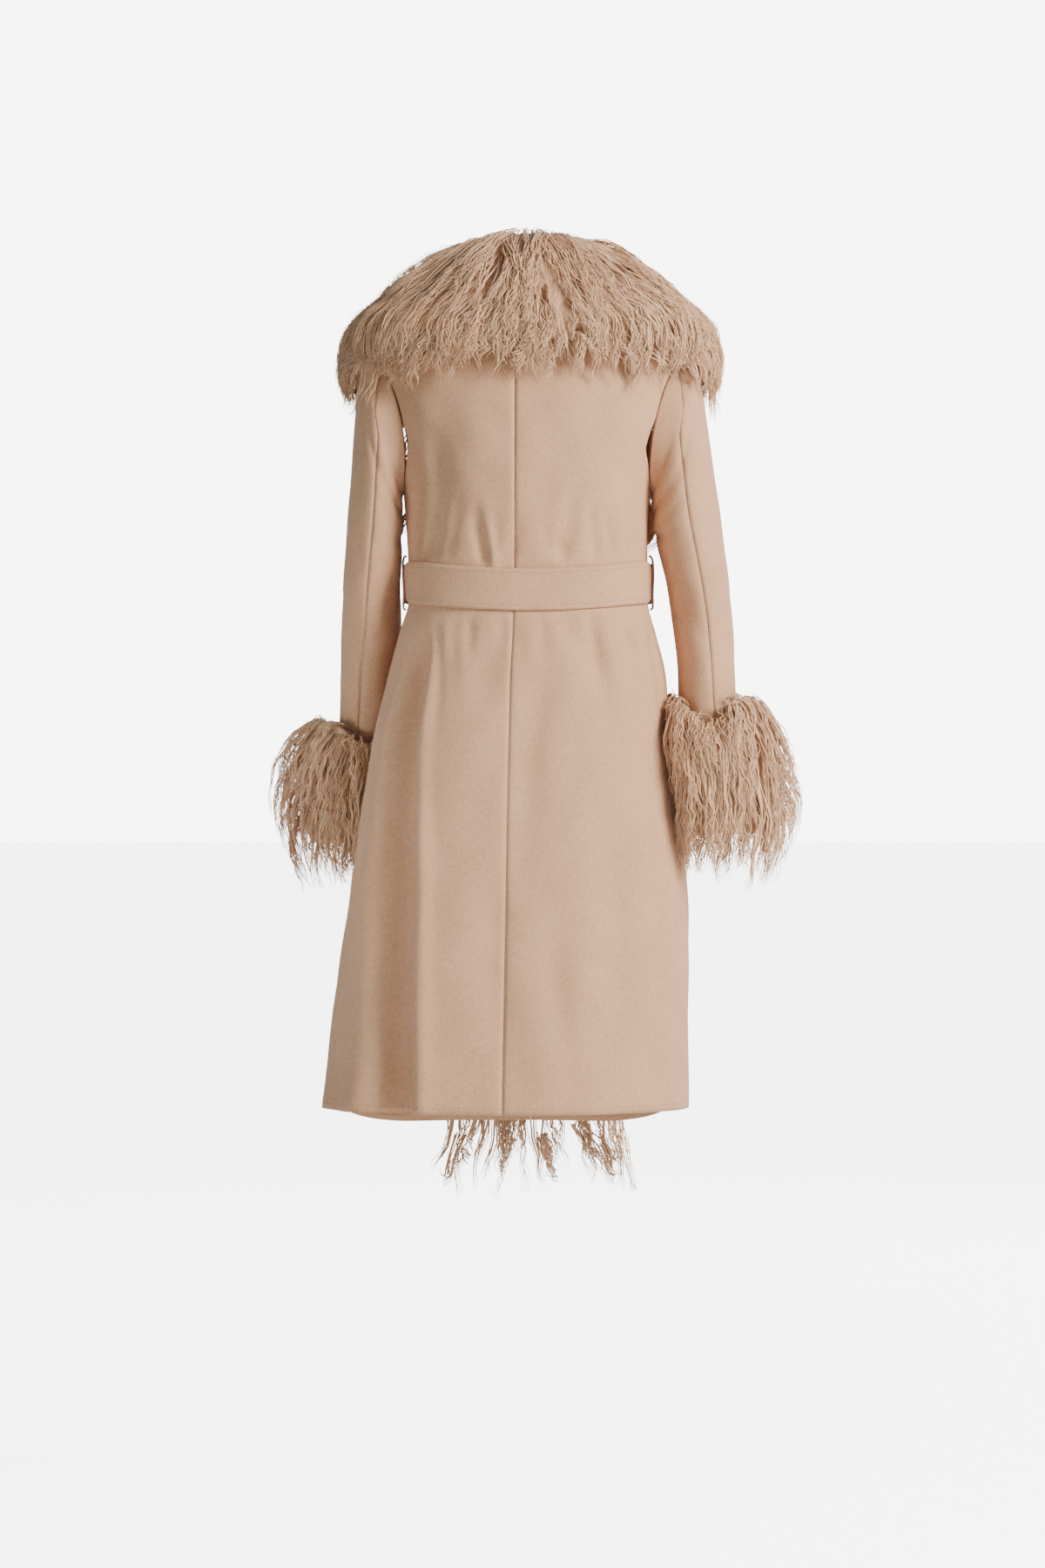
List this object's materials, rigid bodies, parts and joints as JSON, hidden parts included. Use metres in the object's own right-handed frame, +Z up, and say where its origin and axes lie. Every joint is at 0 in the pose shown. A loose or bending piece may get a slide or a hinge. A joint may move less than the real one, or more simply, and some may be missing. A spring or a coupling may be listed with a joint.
{
  "type": "belted wool coat with lamb-fur collar, fronts and cuffs",
  "caption": "Knee-length belted coat in pale camel wool, with a wide long-haired curly lamb collar, fronts and cuffs, in its hollow worn form.",
  "frame": {"origin": "the middle of the shoulder line inside the neck of the coat, where the shoulders of whoever wears it carry it", "axes": "+Z up, -Y out of the front of the coat, +X towards its left sleeve"},
  "size_m": [0.6553, 0.3756, 1.1904],
  "materials": {
    "wool": "soft brushed nap",
    "lamb": "long curly silky hair"
  },
  "bodies": {
    "root": {"back_left": "wool", "back_right": "wool", "front_left": "wool", "front_right": "wool", "upper_sleeve_left": "wool", "upper_sleeve_right": "wool", "under_sleeve_left": "wool", "under_sleeve_right": "wool", "belt": "wool", "belt_knot": "wool", "belt_end_left": "wool", "belt_end_right": "wool", "belt_loop_left": "wool", "belt_loop_right": "wool", "fur_collar": "lamb", "fur_front_left": "lamb", "fur_front_right": "lamb", "fur_cuff_left": "lamb", "fur_cuff_right": "lamb"}
  },
  "joints": []
}
